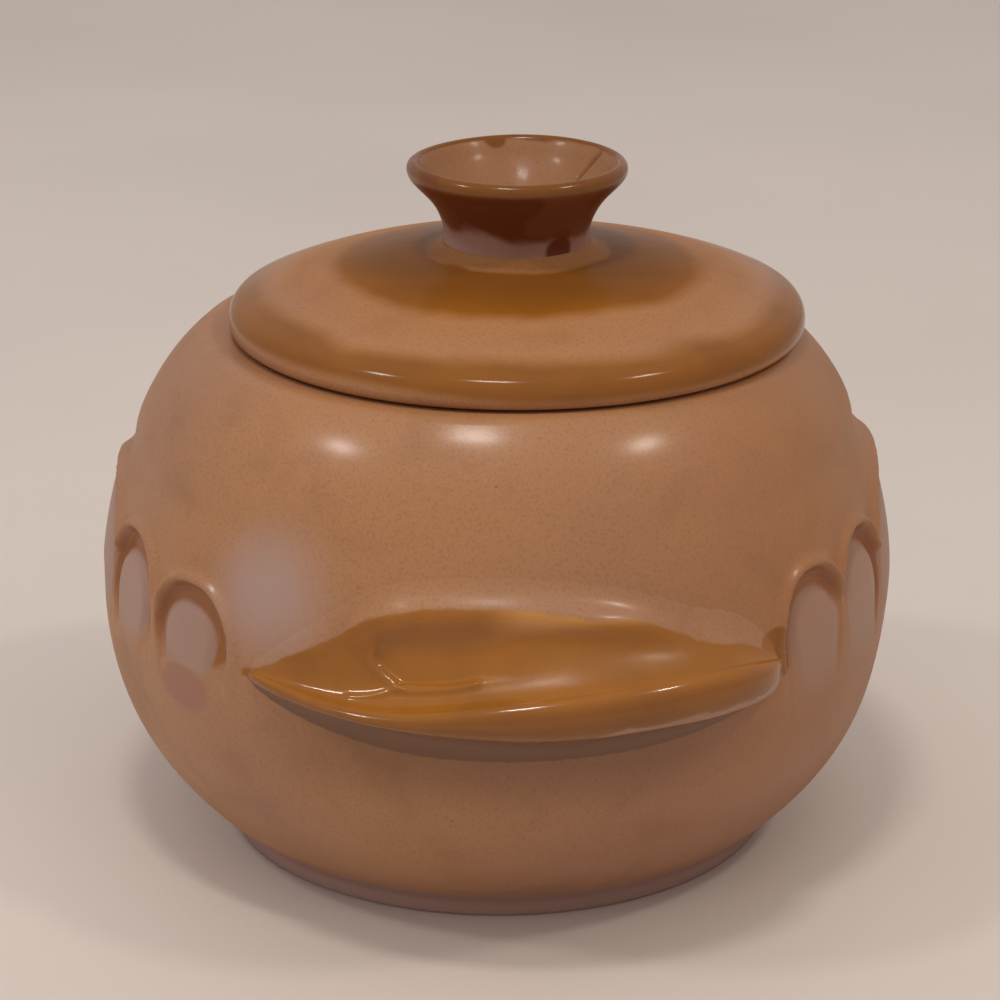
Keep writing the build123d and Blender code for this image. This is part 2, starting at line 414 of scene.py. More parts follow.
def line_distance(x, y, line):
    """Distance from points to a run of straight pieces."""
    nearest = np.full(x.shape, np.inf)
    for (ax, ay), (bx, by) in zip(line[:-1], line[1:]):
        dx, dy = bx - ax, by - ay
        t = np.clip(((x - ax) * dx + (y - ay) * dy) / (dx * dx + dy * dy), 0, 1)
        nearest = np.minimum(nearest, np.hypot(x - ax - t * dx, y - ay - t * dy))
    return nearest


def new_object(name, data):
    made = bpy.data.objects.new(name, data)
    bpy.context.scene.collection.objects.link(made)
    return made


def mesh_object(name, points, faces, material, marks=None):
    """A smooth-shaded mesh object from points in millimetres, with a number per point and mark."""
    mesh = bpy.data.meshes.new(name)
    mesh.from_pydata((np.asarray(points) * MM).tolist(), [], faces)
    mesh.polygons.foreach_set("use_smooth", [True] * len(mesh.polygons))
    for mark, values in (marks or {}).items():
        layer = mesh.attributes.new(mark, "FLOAT", "POINT")
        layer.data.foreach_set("value", np.asarray(values, np.float32).ravel())
    mesh.materials.append(material)
    mesh.update()
    return new_object(name, mesh)


def ring_faces(rows, columns):
    """Quads between rows of points that go all the way round."""
    faces = []
    for i in range(rows - 1):
        low, high = i * columns, (i + 1) * columns
        for j in range(columns):
            k = (j + 1) % columns
            faces.append((low + j, low + k, high + k, high + j))
    return faces


def turned_piece(name, radii, heights, azimuths, material, marks=None, axis_x=0.0):
    """A closed turned form. Radii and heights are rows by columns, from axis to axis."""
    rows, columns = radii.shape
    turn = np.radians(azimuths)[None, :]
    grid = np.stack([axis_x + radii * np.sin(turn), -radii * np.cos(turn), heights], -1)
    inner = grid[1:-1].reshape(-1, 3)
    ends = [[axis_x, 0, heights[0, 0]], [axis_x, 0, heights[-1, 0]]]
    faces = ring_faces(rows - 2, columns)
    first, last, top = len(inner), len(inner) + 1, (rows - 3) * columns
    for j in range(columns):
        k = (j + 1) % columns
        faces.append((first, k, j))
        faces.append((last, top + j, top + k))
    kept = {mark: np.concatenate([values[1:-1].ravel(), values[[0, -1], 0]])
            for mark, values in (marks or {}).items()}
    return mesh_object(name, np.concatenate([inner, ends]), faces, material, kept)


def spread_round(profile, azimuths):
    """Radii and heights of a profile, repeated for every azimuth."""
    return (np.repeat(profile[:, :1], len(azimuths), 1),
            np.repeat(profile[:, 1:], len(azimuths), 1))


# -------- pot

wall_line = smooth_line(WALL, 2001)


def wall_radius(height):
    """Radius of the outside of the plain wall at a height."""
    return np.interp(height, wall_line[:, 1], wall_line[:, 0])


def wall_slope(height):
    """Unit vector up along the wall at a height, as radius and height."""
    rise = 0.5
    along = np.stack([wall_radius(height + rise) - wall_radius(height - rise),
                      np.full_like(np.asarray(height, float), 2 * rise)], -1)
    return along / np.linalg.norm(along, axis=-1, keepdims=True)


def arch_gap(azimuth, height, radius, side, arch):
    """Distance outside an arch's outline, negative inside it, and its dark band's width there."""
    half_width = arch.half_width - LEG_DRAW_IN * ease(height, *DRAW_IN_HEIGHTS)
    turn = np.radians(turn_from(azimuth - side, arch.middle))
    along = radius * np.sin(turn)
    rise = np.maximum(height - ARCH_SPRING, 0)
    tall = arch.top - ARCH_SPRING
    scale = ((np.abs(along) / half_width) ** ARCH_POWER
             + (rise / tall) ** ARCH_POWER) ** (1 / ARCH_POWER)
    reach = np.maximum(np.hypot(along, rise), 0.05)
    gap = np.clip(reach - reach / np.maximum(scale, 1e-3), -half_width, FAR_GAP)
    gap = np.where(np.cos(turn) > 0.3, gap, FAR_GAP)
    leg = arch.low_leg + (arch.high_leg - arch.low_leg) * ease(along / half_width, -0.5, 0.5)
    return gap, leg + (arch.crown - leg) * np.clip(rise / tall, 0, 1) ** 3


def relief(azimuth, height, radius):
    """How far the arches move the wall outward, with marks for pooled glaze and arch faces."""
    lowest = np.full(azimuth.shape, FAR_GAP)
    carved, proud, raised, pool, face = (np.zeros(azimuth.shape) for _ in range(5))
    for side, arches in ARCHES.items():
        for arch in arches:
            gap, band = arch_gap(azimuth, height, radius, side, arch)
            swell_range, pool_range, face_range = (
                (start - band, end - band) for start, end in (FACE_SWELL, POOL_END, FACE_START))
            drop = ease(gap, *CARVING_START)
            swell = ease(gap, *swell_range)
            carved = np.minimum(carved, -arch.depth * drop * (1 - min(arch.swell, 1) * swell))
            proud = np.maximum(proud, arch.depth * drop * swell * max(arch.swell - 1, 0))
            spread = np.where(gap < RIM_GAP, RIM_INWARD, RIM_OUTWARD)
            raised = np.maximum(raised, np.exp(-((gap - RIM_GAP) / spread) ** 2))
            pooled = ease(gap, *POOL_START) * ease(gap, *pool_range)
            pool = np.maximum(pool, pooled)
            face = np.maximum(face, ease(gap, *face_range))
            lowest = np.minimum(lowest, gap)
    merged = ease(np.abs(azimuth - MERGED_AZIMUTH), *MERGED_REACH)
    fade = ease(height, *RELIEF_FADE) * (1 - merged * ease(height, *MERGED_RELIEF))
    proud = proud * ease(carved, *DEEP_CARVING)
    rim = RIM_HEIGHT * raised * ease(lowest, *RIM_CLEAR)
    pool_fade = ease(height, *POOL_FADE) * (1 - merged * ease(height, *MERGED_POOL))
    level = height + FACE_ROUNDING * np.clip(-lowest, 0, ROUNDING_REACH)
    face_fade = np.where(azimuth > 180, ease(level, *FACE_FADE_LEFT),
                         ease(level, *FACE_FADE_RIGHT))
    return fade * (carved + proud + rim), pool * pool_fade, face * face_fade


def hand_wobble(azimuth, height):
    """Slight unevenness of a hand-finished wall, always inward."""
    turn = np.radians(azimuth)
    swing = (np.sin(2 * turn + 0.7) + 0.6 * np.sin(3 * turn + 0.04 * height)
             + 0.4 * np.cos(5 * turn - 0.06 * height))
    hollow = 0.0
    for middle, level, half_turn, half_height, depth in HOLLOWS:
        gap = turn_from(azimuth, middle) / half_turn
        hollow = hollow + depth * np.exp(-gap ** 2 - ((height - level) / half_height) ** 2)
    return -WOBBLE_SINK - hollow - WOBBLE * (1 + swing / 2) \
        * ease(height, *WOBBLE_START) * ease(height, *WOBBLE_END)


def lug_line(azimuth, measure):
    """One measure of the lug along its stations, at the given azimuths."""
    stations = [(station.azimuth, getattr(station, measure)) for station in LUG]
    line = smooth_line(stations, 400)
    return np.interp(azimuth, line[:, 0], line[:, 1])


def amber_runs(azimuth, height):
    """Millimetres inside the runs of amber glaze at the lug's ends, negative outside them."""
    inside = np.full(azimuth.shape, -GLAZE_REACH)
    for middle, level, half_width, half_height, bow in RUNS:
        along = (height - level) / half_height
        across = (azimuth - middle) * np.radians(LUG_RADIUS) / half_width + bow * along ** 2
        inside = np.maximum(inside, (1 - np.hypot(across, along)) * half_width)
    return inside


def amber_round_lugs(azimuth, height):
    """The same for all the amber glaze on the wall round the lugs."""
    inside = np.full(azimuth.shape, -GLAZE_REACH)
    for turn in (0, 180):
        near = turn_from(azimuth, turn)
        ends = np.minimum(near - LUG[0].azimuth, LUG[-1].azimuth + AMBER_PAST_END - near)
        above = lug_line(near, "junction") - height
        below = height - lug_line(near, "sill") - AMBER_ABOVE_SILL
        amber = np.minimum(ends * np.radians(LUG_RADIUS), np.minimum(above, below))
        inside = np.maximum(inside, np.maximum(amber, amber_runs(near, height)))
    return np.clip(inside, -GLAZE_REACH, GLAZE_REACH)


def spot_distance(azimuth, height, spot):
    """Distance from a spot's middle, which is 1 at the edge of its ellipse."""
    return np.hypot(turn_from(azimuth, spot.azimuth) / spot.half_turn,
                    (height - spot.height) / spot.half_height)


def window_reflection_share(azimuth, height):
    """How strong the painted window reflection, a pale mauve spot, is at a point."""
    return ease(spot_distance(azimuth, height, WINDOW_REFLECTION), *WINDOW_REFLECTION_EDGE)


def dense_azimuths():
    """Columns round the pot, close together where the arches' sides are."""
    half = np.concatenate([np.arange(SIDE_START, CROWN_START, LEG_STEP),
                           np.arange(CROWN_START, 90, CROWN_STEP)])
    side = np.concatenate([half, [90], 180 - half[::-1]])
    front = np.arange(-SIDE_START + FRONT_STEP, SIDE_START, FRONT_STEP)
    return np.concatenate([front, side, front + 180, side + 180])


def cavity_line():
    """The inside of the wall, from its upper end down."""
    first, last = (int(share * (len(wall_line) - 1)) for share in CAVITY_SHARES)
    part = wall_line[first:last + 1]
    along = np.gradient(part, axis=0)
    along /= np.linalg.norm(along, axis=1)[:, None]
    inside = (part + WALL_THICKNESS * np.stack([-along[:, 1], along[:, 0]], 1))[::-1]
    return resampled(inside, CAVITY_SPACING)


def wall_marks(azimuth, height, pool, face):
    """Marks for the glaze at each point of the wall, with painted reflection and painted shade."""
    # Painted shade: the wall is darkened below the lug, where the lug shades it
    below = ease(np.abs(turn_from(azimuth, 0)), *LUG_SHADE_TURN) \
        * ease(height, *LUG_SHADE_START) * ease(height, *LUG_SHADE_END)
    patch = ease(spot_distance(azimuth, height, PATCH), *PATCH_EDGE)
    return {"pool": pool, "face": face, "amber": amber_round_lugs(azimuth, height),
            "window_reflection": window_reflection_share(azimuth, height), "patch": patch, "below": below}


def build_pot(material):
    azimuths = dense_azimuths()
    rows_up = [np.arange(*row) for row in WALL_ROWS]
    heights = np.concatenate(rows_up + [np.linspace(*SHOULDER_ROWS)])
    outside = np.stack([wall_radius(heights), heights], 1)
    profile = joined(FOOT, outside, SEAT, cavity_line(), CAVITY_FLOOR)
    radii, levels = spread_round(profile, azimuths)
    rows = slice(len(FOOT), len(FOOT) + len(outside))
    azimuth = np.repeat(azimuths[None, :], len(outside), 0)
    height = levels[rows].copy()
    slope = wall_slope(height)
    moved, pool, face = relief(azimuth, height, radii[rows])
    moved = moved + hand_wobble(azimuth, height) \
        * ease(height, *SEAT_CLEAR) * ease(height, *FOOT_CLEAR)
    radii[rows] = np.minimum(radii[rows] + moved * slope[..., 1], LARGEST_RADIUS)
    levels[rows] -= moved * slope[..., 0]
    marks = {}
    for mark, values in wall_marks(azimuth, height, pool, face).items():
        marks[mark] = np.full(radii.shape, values.min())
        marks[mark][rows] = values
    return turned_piece("pot_shell", radii, levels, azimuths, material, marks)


# -------- lugs

def bezier(points, shares):
    """Cubic curves, one per column: points are four arrays of columns by 2."""
    t = shares[:, None, None]
    a, b, c, d = (p[None] for p in points)
    return (1 - t) ** 3 * a + 3 * t * (1 - t) ** 2 * b + 3 * t * t * (1 - t) * c + t ** 3 * d


def thumb_dish(azimuth, slant):
    """How far the thumb dish and the ridge round its end move the lug's top outward."""
    around = LUG_RADIUS * np.radians(azimuth)
    down = slant * SLANT
    ridge, branch = (np.array([(LUG_RADIUS * math.radians(a), s * SLANT) for a, s in line])
                     for line in (DISH_RIDGE, DISH_BRANCH))
    turn = np.argmin(ridge[:, 0])
    edge = line_distance(around, down, smooth_line(ridge, 80))
    fork = line_distance(around, down, smooth_line(branch, 40))
    side = np.interp(down, ridge[turn:, 1], ridge[turn:, 0])
    low = np.interp(around, ridge[turn:, 0], ridge[turn:, 1])
    within = ease(around - side, *DISH_EDGE) * ease(low - down, *DISH_EDGE)
    floor = -DISH_DEPTH * within * ease(around, *DISH_RIGHT) * ease(down, *DISH_START)
    start = ease(down, *(ridge[0, 1] + edge_down for edge_down in RIDGE_START))
    return (floor + RIDGE_HEIGHT * start * np.exp(-(edge / RIDGE_SPREAD) ** 2)
            + BRANCH_HEIGHT * np.exp(-(fork / BRANCH_SPREAD) ** 2))


def edge_on_wall(columns, heights):
    """Where the lug's surface sinks into the uneven wall."""
    radius = wall_radius(heights) + hand_wobble(columns, heights) - EDGE_SINK
    return np.stack([radius, heights], 1)


def lug_top(columns, junction, top_edge, crest, start, full):
    """Sections of the lug's top from its crest up to the wall, and which way they face."""
    bend_height = start[:, 1] - BEND_SHARE * (start[:, 1] - top_edge)
    lift = BEND_LIFT - LIFT_LOSS * ease(columns, *LIFT_RANGE)
    bend = np.stack([wall_radius(bend_height) + lift * full, bend_height], 1)
    out = crest[:, 0] - start[:, 0]
    tilt = CREST_TILT + TILT_GAIN * ease(columns, *TILT_RANGE)
    level = crest - np.stack([CREST_SHARE * out, -tilt * out], 1)
    top = bezier([crest, level, bend, start], np.linspace(0, 1, TOP_ROWS)[1:])
    along = np.gradient(top, axis=0)
    along /= np.linalg.norm(along, axis=-1)[..., None]
    facing = np.stack([along[..., 1], -along[..., 0]], -1)
    seam = wall_radius(junction) - junction + SWELLING_SHIFT
    off_seam = (top[..., 0] - top[..., 1] - seam) * SLANT / SWELLING_SPREAD
    swelling = SEAM_SWELLING * ease(columns, *SWELLING_RISE) \
        * ease(columns, *SWELLING_FALL) * np.exp(-off_seam ** 2)
    return top + swelling[..., None] * facing, facing


def lug_bottom(end, under_lip):
    """Sections of the lug's underside from the wall out to the lip."""
    up = wall_slope(end[:, 1])
    back, drop = (under_lip[:, k:k + 1] - end[:, k:k + 1] for k in (0, 1))
    rise, out, fall = UNDER_SHARES
    leave = under_lip - np.concatenate([out * back, fall * back], 1)
    shares = np.linspace(0, 1, UNDER_ROWS)[:-1]
    return bezier([end, end + up * rise * drop, leave, under_lip], shares)


def lug_tip(lip, nose, sill, top_edge, swing):
    """Sections of the lip's round nose, from its lower edge up to its crest."""
    middle, half = (top_edge + sill) / 2, (top_edge - sill) / 2
    turn = np.radians(swing)
    return np.stack([(lip - nose) + nose * np.cos(turn), middle + half * np.sin(turn)], -1)


def lug_back(high, low):
    """Hidden sections inside the wall, from the top's end down to the underside's."""
    share = np.linspace(0, 1, BACK_ROWS)[1:-1, None]
    height = high * (1 - share) + low * share
    return np.stack([wall_radius(height) - BACK_SINK, height], -1)


def lug_marks(grid, azimuth, swing, junction, nose_rows, top_rows):
    """Marks for the glaze at each point of the lug, with painted reflection and painted shade."""
    marks = {name: np.zeros(grid.shape[:2]) for name in ("amber", "window_reflection", "deep", "face", "under")}
    top_radius, top_height = grid[top_rows][..., 0], grid[top_rows][..., 1]
    ends = np.interp(azimuth[0], *zip(*AMBER_ENDS))
    proud = np.maximum(top_radius - wall_radius(top_height), 0)
    below = junction[None, :] - top_height + AMBER_RISE * np.minimum(proud, RISE_REACH)
    marks["amber"][:] = -GLAZE_REACH
    marks["amber"][nose_rows] = np.radians(swing - ends[None, :]) * LIP_NOSE
    marks["amber"][top_rows] = np.maximum(below, amber_runs(azimuth[top_rows], top_height))
    marks["amber"] = np.clip(marks["amber"], -GLAZE_REACH, GLAZE_REACH)
    # Painted window reflection, carried on over the lug's top
    marks["window_reflection"][top_rows] = window_reflection_share(azimuth[top_rows], top_height)
    # Painted shade: deep amber on the lip's front face
    marks["deep"][nose_rows] = ease(swing, *SHADED_LIP)
    marks["face"][nose_rows] = 1
    # Painted shade: the whole underside takes the SHADE tint
    marks["under"][:nose_rows.start] = 1
    return marks


def add_shelf_marks(marks, grid, azimuth):
    """Marks for where the shelf's amber is pale, deep or thin; the pale strip is a painted
    reflection.
    """
    around = LUG_RADIUS * np.radians(azimuth)
    slant = grid[..., 0] - grid[..., 1]
    reflection_strip, shelf = 1.0, 1.0
    for span in REFLECTION_STRIP_ALONG:
        reflection_strip = reflection_strip * ease(around, *span)
    for span in REFLECTION_STRIP_SLANT:
        reflection_strip = reflection_strip * ease(slant, *span)
    for span in SHELF_ALONG:
        shelf = shelf * ease(around, *span)
    shelf = shelf * ease(slant, *SHELF_SLANT) * ease(grid[..., 0], *SHELF_RADIUS)
    deep = SHELF_DEEP * shelf * ease(around, *SHELF_DEEP_START)
    # pale holds the painted reflection strip, and the shelf's thin pale glaze
    marks["pale"] = np.maximum(reflection_strip, SHELF_PALE * shelf) * (1 - marks["under"])
    marks["deep"] = np.maximum(marks["deep"], deep)
    marks["thin"] = shelf * (1 - marks["under"])


def lug_surface():
    """Front lug as section rows by azimuth columns, with its marks."""
    columns = np.arange(LUG[0].azimuth, LUG[-1].azimuth + LUG_STEP / 2, LUG_STEP)
    junction, lip, sill, top_edge, under = (
        lug_line(columns, measure) for measure in Station._fields[1:])
    reach = lip - wall_radius(top_edge)
    full = ease(reach, *FULL_REACH)
    nose = SMALL_NOSE + (LIP_NOSE - SMALL_NOSE) * full
    crest, under_lip = (np.stack([lip - nose, height], 1) for height in (top_edge, sill))
    start = edge_on_wall(columns, junction + START_ABOVE + START_GAIN * full)
    swing = np.linspace(-90, 90, NOSE_ROWS)[:, None]
    bottom = lug_bottom(edge_on_wall(columns, under), under_lip)
    tip = lug_tip(lip, nose, sill, top_edge, swing)
    top, facing = lug_top(columns, junction, top_edge, crest, start, full)
    grid = np.concatenate([bottom, tip, top, lug_back(start[:, 1], under)])
    azimuth = np.repeat(columns[None, :], len(grid), 0)
    nose_rows = slice(len(bottom), len(bottom) + len(tip))
    top_rows = slice(nose_rows.stop, nose_rows.stop + len(top))
    marks = lug_marks(grid, azimuth, swing, junction, nose_rows, top_rows)
    clear = ease(top[..., 0] - wall_radius(top[..., 1]), *WALL_CLEAR) \
        * ease(reach, *END_CLEAR)[None, :]
    dish = thumb_dish(azimuth[top_rows], top[..., 0] - top[..., 1]) * clear
    grid[top_rows] += dish[..., None] * facing
    add_shelf_marks(marks, grid, azimuth)
    return columns, grid, marks


def build_lug(name, turn, material):
    columns, grid, marks = lug_surface()
    rows, count = grid.shape[:2]
    azimuth = np.radians(columns + turn)[None, :]
    radii, heights = grid[..., 0], grid[..., 1]
    points = np.stack([radii * np.sin(azimuth), -radii * np.cos(azimuth), heights], -1)
    ends = [points[:, 0].mean(0), points[:, -1].mean(0)]
    centre = rows * count
    sides, caps = [], []
    for i in range(rows):
        below, above = i * count, (i + 1) % rows * count
        for j in range(count - 1):
            sides.append((below + j, below + j + 1, above + j + 1, above + j))
        caps.append((below, above, centre))
        caps.append((above + count - 1, below + count - 1, centre + 1))
    kept = {mark: np.concatenate([values.ravel(), [0, 0]]) for mark, values in marks.items()}
    points = np.concatenate([points.reshape(-1, 3), ends])
    return mesh_object(name, points, sides + caps, material, kept)


# -------- lid

def build_lid(material):
    azimuths = np.arange(0, 360, LID_STEP)
    profile = joined(curved(LID_UNDER, 3.0), LID_SIDE, curved(LID_EDGE, 0.5, 60),
                     curved(LID_CROWN, 1.4), curved(LID_ROOT, 0.6, 100), LID_TOP)
    turn = np.radians(azimuths)[None, :]
    radii, levels = spread_round(profile, azimuths)
    edge = ease(radii, *LID_WAVE_RADII)
    high = ease(levels, *LID_WAVE_HEIGHTS)
    wave = 1 + 0.6 * np.sin(2 * turn + 1.1) + 0.4 * np.sin(5 * turn)
    levels -= high * edge * LID_DROOP * wave
    radii -= LID_PINCH * edge * (1 + np.sin(3 * turn + 0.4))
    return turned_piece("lid_dome", radii, levels, azimuths, material, axis_x=LID_SHIFT)


def plan_point(azimuth, radius):
    """x and y of an azimuth and a radius."""
    turn = math.radians(azimuth)
    return radius * math.sin(turn), -radius * math.cos(turn)


def knob_marks(radii, levels, turn, inside):
    """Marks for the knob's crease, the notch on its rim and the drip on its neck."""
    x, y = radii * np.sin(turn), -radii * np.cos(turn)
    line = [plan_point(*point) for point in CREASE]
    crease = inside * np.exp(-(line_distance(x, y, line) / CREASE_WIDTH) ** 2)
    levels = levels - CREASE_DEPTH * crease
    notch_x, notch_y = plan_point(*NOTCH)
    off_notch = np.hypot((x - notch_x) / NOTCH_SIZE[0], (y - notch_y) / NOTCH_SIZE[1])
    notch = ease(off_notch, *NOTCH_EDGE) * ease(levels, *NOTCH_HEIGHTS)
    along = (turn - np.radians(DRIP_AZIMUTH)) * KNOB_OUTSIDE[0][0]
    off_drip = np.hypot(along / DRIP_SIZE, (levels - DRIP_HEIGHT) / DRIP_SIZE)
    drip = ease(off_drip, *DRIP_EDGE) * (1 - inside)
    return {"inside": inside, "crease": crease, "notch": notch, "drip": drip}


def build_knob(material):
    azimuths = np.arange(0, 360, KNOB_STEP)
    hollow = curved(KNOB_INSIDE, 0.5)
    profile = joined(KNOB_FOOT, curved(KNOB_OUTSIDE, 0.6),
                     curved([KNOB_OUTSIDE[-1]] + KNOB_LIP, 0.35, 160), hollow)
    turn = np.radians(azimuths)[None, :]
    radii, levels = spread_round(profile, azimuths)
    inner_start = len(profile) - len(hollow)
    inside = (np.arange(len(profile)) >= inner_start)[:, None] * np.ones_like(turn)
    neck = ease(levels, *NECK_START) * ease(levels, *NECK_END) * (1 - inside)
    radii += neck * (0.22 * np.sin(2 * turn + 0.9) + 0.12 * np.sin(5 * turn + 0.2 * levels))
    rim = ease(levels, *RIM_START) * ease(radii, *RIM_RADII)
    levels -= rim * RIM_DROOP * (1 + 0.7 * np.sin(2 * turn + 0.5) + 0.5 * np.sin(3 * turn + 2.0))
    radii -= rim * RIM_PINCH * (1 + np.sin(3 * turn + 1.0))
    marks = knob_marks(radii, levels, turn, inside)
    levels = levels - CREASE_DEPTH * marks["crease"]
    return turned_piece("knob_cup", radii, levels, azimuths, material, marks, LID_SHIFT)


# -------- materials

def tone(*screen):
    """Linear colour from screen values out of 255."""
    return tuple(((value / 255 + 0.055) / 1.055) ** 2.4 for value in screen) + (1.0,)


class Net:
    """Short names for the nodes of one material."""

    def __init__(self, name, coat_roughness=0.1, specular=0.5):
        self.material = bpy.data.materials.new(name)
        self.material.use_nodes = True
        self.tree = self.material.node_tree
        self.shader = self.tree.nodes["Principled BSDF"]
        self.shader.inputs["Specular IOR Level"].default_value = specular
        self.shader.inputs["Coat Roughness"].default_value = coat_roughness
        self.place = self.node("TexCoord").outputs["Object"]

    def node(self, kind, **settings):
        made = self.tree.nodes.new("ShaderNode" + kind)
        for key, value in settings.items():
            setattr(made, key, value)
        return made

    def feed(self, socket, value):
        """Link a socket to another one's output, or set it to a number or colour."""
        if isinstance(value, bpy.types.NodeSocket):
            self.tree.links.new(value, socket)
        else:
            socket.default_value = value

    def outputs_of(self, kind, value):
        made = self.node(kind)
        self.feed(made.inputs[0], value)
        return made.outputs

    def coat(self, weight):
        self.feed(self.shader.inputs["Coat Weight"], weight)

    def math(self, operation, *values):
        made = self.node("Math", operation=operation)
        for socket, value in zip(made.inputs, values):
            self.feed(socket, value)
        return made.outputs[0]

    def plus(self, first, second):
        return self.math("ADD", first, second)

    def minus(self, first, second):
        return self.math("SUBTRACT", first, second)

    def times(self, first, second):
        return self.math("MULTIPLY", first, second)

    def most(self, first, second):
        return self.math("MAXIMUM", first, second)

    def mark(self, name):
        made = self.node("Attribute", attribute_type="GEOMETRY", attribute_name=name)
        return made.outputs["Fac"]

    def noise(self, scale, detail=2.0, distortion=0.0):
        made = self.node("TexNoise")
        self.feed(made.inputs["Vector"], self.place)
        for name, number in (("Scale", scale), ("Detail", detail), ("Distortion", distortion)):
            made.inputs[name].default_value = number
        return made.outputs["Fac"]

    def ramp(self, value, low, high, start=0.0, end=1.0):
        """Smooth change from start to end as the value goes from low to high."""
        made = self.node("MapRange", interpolation_type="SMOOTHSTEP")
        for socket, number in zip(made.inputs, (value, low, high, start, end)):
            self.feed(socket, number)
        return made.outputs[0]

    def ramp_mm(self, value, span, start=0.0, end=1.0):
        """The same for a length, over a span given in millimetres."""
        return self.ramp(value, span[0] * MM, span[1] * MM, start, end)

    def wander(self, scale, distortion, reach):
        """A number that drifts over the surface between minus and plus reach."""
        return self.ramp(self.noise(scale, 3.0, distortion), 0.2, 0.8, -reach, reach)

    def mix(self, share, first, second):
        made = self.node("Mix", data_type="RGBA", blend_type="MIX")
        self.feed(made.inputs[0], share)
        self.feed(made.inputs[6], first)
        self.feed(made.inputs[7], second)
        return made.outputs[2]

    def tinted(self, color, tints):
        """The colour with each mark's tint laid over it, at that tint's strength."""
        for name, strength, tint in tints:
            color = self.mix(self.times(self.mark(name), strength), color, tint)
        return color

    def axes(self):
        """The place's x, y and z, in metres."""
        return self.outputs_of("SeparateXYZ", self.place)

    def axis_distance(self, axis_x):
        """Distance in metres from the upright axis at that x."""
        x, y, _ = self.axes()
        x = self.minus(x, axis_x)
        return self.math("SQRT", self.plus(self.times(x, x), self.times(y, y)))

    def flecks(self, scale, size, share):
        """Small round spots in some cells: 1 in a spot."""
        made = self.node("TexVoronoi")
        self.feed(made.inputs["Vector"], self.place)
        made.inputs["Scale"].default_value = scale
        spot = self.ramp(made.outputs["Distance"], size, size * 0.4)
        cell = self.outputs_of("SeparateColor", made.outputs["Color"])[0]
        return self.times(spot, self.math("LESS_THAN", cell, share))

    def finish(self, color, roughness, height, depth):
        """Colour, roughness and fine relief onto the shader; depth is in metres."""
        self.feed(self.shader.inputs["Base Color"], color)
        self.feed(self.shader.inputs["Roughness"], roughness)
        bump = self.node("Bump")
        bump.inputs["Strength"].default_value = 1.0
        bump.inputs["Distance"].default_value = depth
        self.feed(bump.inputs["Height"], height)
        self.feed(self.shader.inputs["Normal"], bump.outputs[0])
        return self.material


TAN = tone(172, 122, 82)
ROSE = tone(164, 117, 86)
UMBER = tone(122, 80, 52)
FLECK = tone(92, 58, 38)
POOL = tone(146, 88, 48)
MAUVE = tone(162, 132, 120)
AMBER = tone(158, 98, 30)
AMBER_DEEP = tone(114, 68, 26)
AMBER_PALE = tone(194, 136, 72)
# Painted shade colour, for the wall below the lug and the lug's underside
SHADE = tone(104, 68, 44)
REDDISH = tone(94, 38, 16)
DUSK = tone(158, 120, 106)
CLAY = tone(184, 156, 142)
# Bare foot clay, darkened with painted shade under the pot's belly
SHADED_FOOT_CLAY = tone(160, 127, 115)
PATCH_BROWN = tone(154, 104, 84)
WINDOW_REFLECTION_MAUVE = tone(172, 144, 134)
WARM_LIGHT = tone(158, 104, 60)
RUSSET = tone(120, 66, 42)
FLOOR_LIGHT = tone(226, 216, 208)
FLOOR_DARK = tone(219, 209, 201)
ROOM = tone(222, 214, 210)

# Roughness of the two glazes, and depth of their fine relief
SATIN = 0.43
GLOSSY = 0.09
PEEL_DEPTH = 0.12 * MM

# Tints of the pot and the lug, bottom one first: mark, strength and colour. The pale mauve spot is
# a painted window reflection, and SHADE, below and under the lug, is painted shade.
POT_TINTS = [("window_reflection", 0.85, WINDOW_REFLECTION_MAUVE), ("pool", 0.85, POOL), ("patch", 0.85, PATCH_BROWN),
             ("below", 0.4, SHADE)]
LUG_TINTS = [("face", 0.15, MAUVE), ("window_reflection", 0.85, WINDOW_REFLECTION_MAUVE), ("under", 0.9, SHADE)]

# Values of x where the pot's warm tone grows, painted light for the warmer light on the +X side,
# and where its arches' mauve fades, painted cool light strongest on the -X side
WARM_LIGHT_SIDE = (10, 90)
COOL_LIGHT_SIDE = (-50, 50)

# Heights where the foot and the locating ring turn to bare clay; the foot's bare clay is painted
# darker, as shade under the belly
BARE_FOOT = (9.2, 8.0)
WORN_RING = (116.8, 115.4)

# Amber on the lid, by distance from its axis: disc, its deep middle, the knob's bare root, and
# the rim's band, which starts higher on the left
LID_DISC = (47, 40.5)
LID_DISC_DEEP = (44, 30)
LID_BARE_ROOT = (21.5, 19.5)
LID_BAND = (57, 63.5)
LID_BAND_HEIGHTS = (123.6, 126.2)
LID_BAND_SIDE = (10, -35)
LID_BAND_SHIFT = 2.2 * MM
LID_COAT = (50, 60)

# Heights on the knob: the neck's dusky foot, which leans with x, and the rim's amber
KNOB_DUSK = (149.4, 146.4)
KNOB_DUSK_LEAN = 0.09
KNOB_RIM = (159.2, 160.6)
KNOB_INNER_RIM = (161.4, 162.2)


def satin_glaze(net):
    """Colour, roughness and height of the thin satin glaze that most of the pot has."""
    cloud = net.noise(11, 3.0)
    patch = net.noise(52, 4.0, 0.3)
    grain = net.noise(1500)
    color = net.mix(net.ramp(cloud, 0.36, 0.66), TAN, ROSE)
    color = net.mix(net.ramp(patch, 0.5, 0.8, 0.0, 0.3), color, UMBER)
    color = net.mix(net.ramp(grain, 0.45, 0.75, 0.0, 0.3), color, UMBER)
    color = net.mix(net.times(net.flecks(300, 0.13, 0.03), 0.5), color, FLECK)
    rough = net.ramp(patch, 0.3, 0.7, SATIN - 0.03, SATIN + 0.04)
    height = net.plus(net.times(net.noise(420), 0.4), net.times(net.noise(120), 0.8))
    return color, rough, height


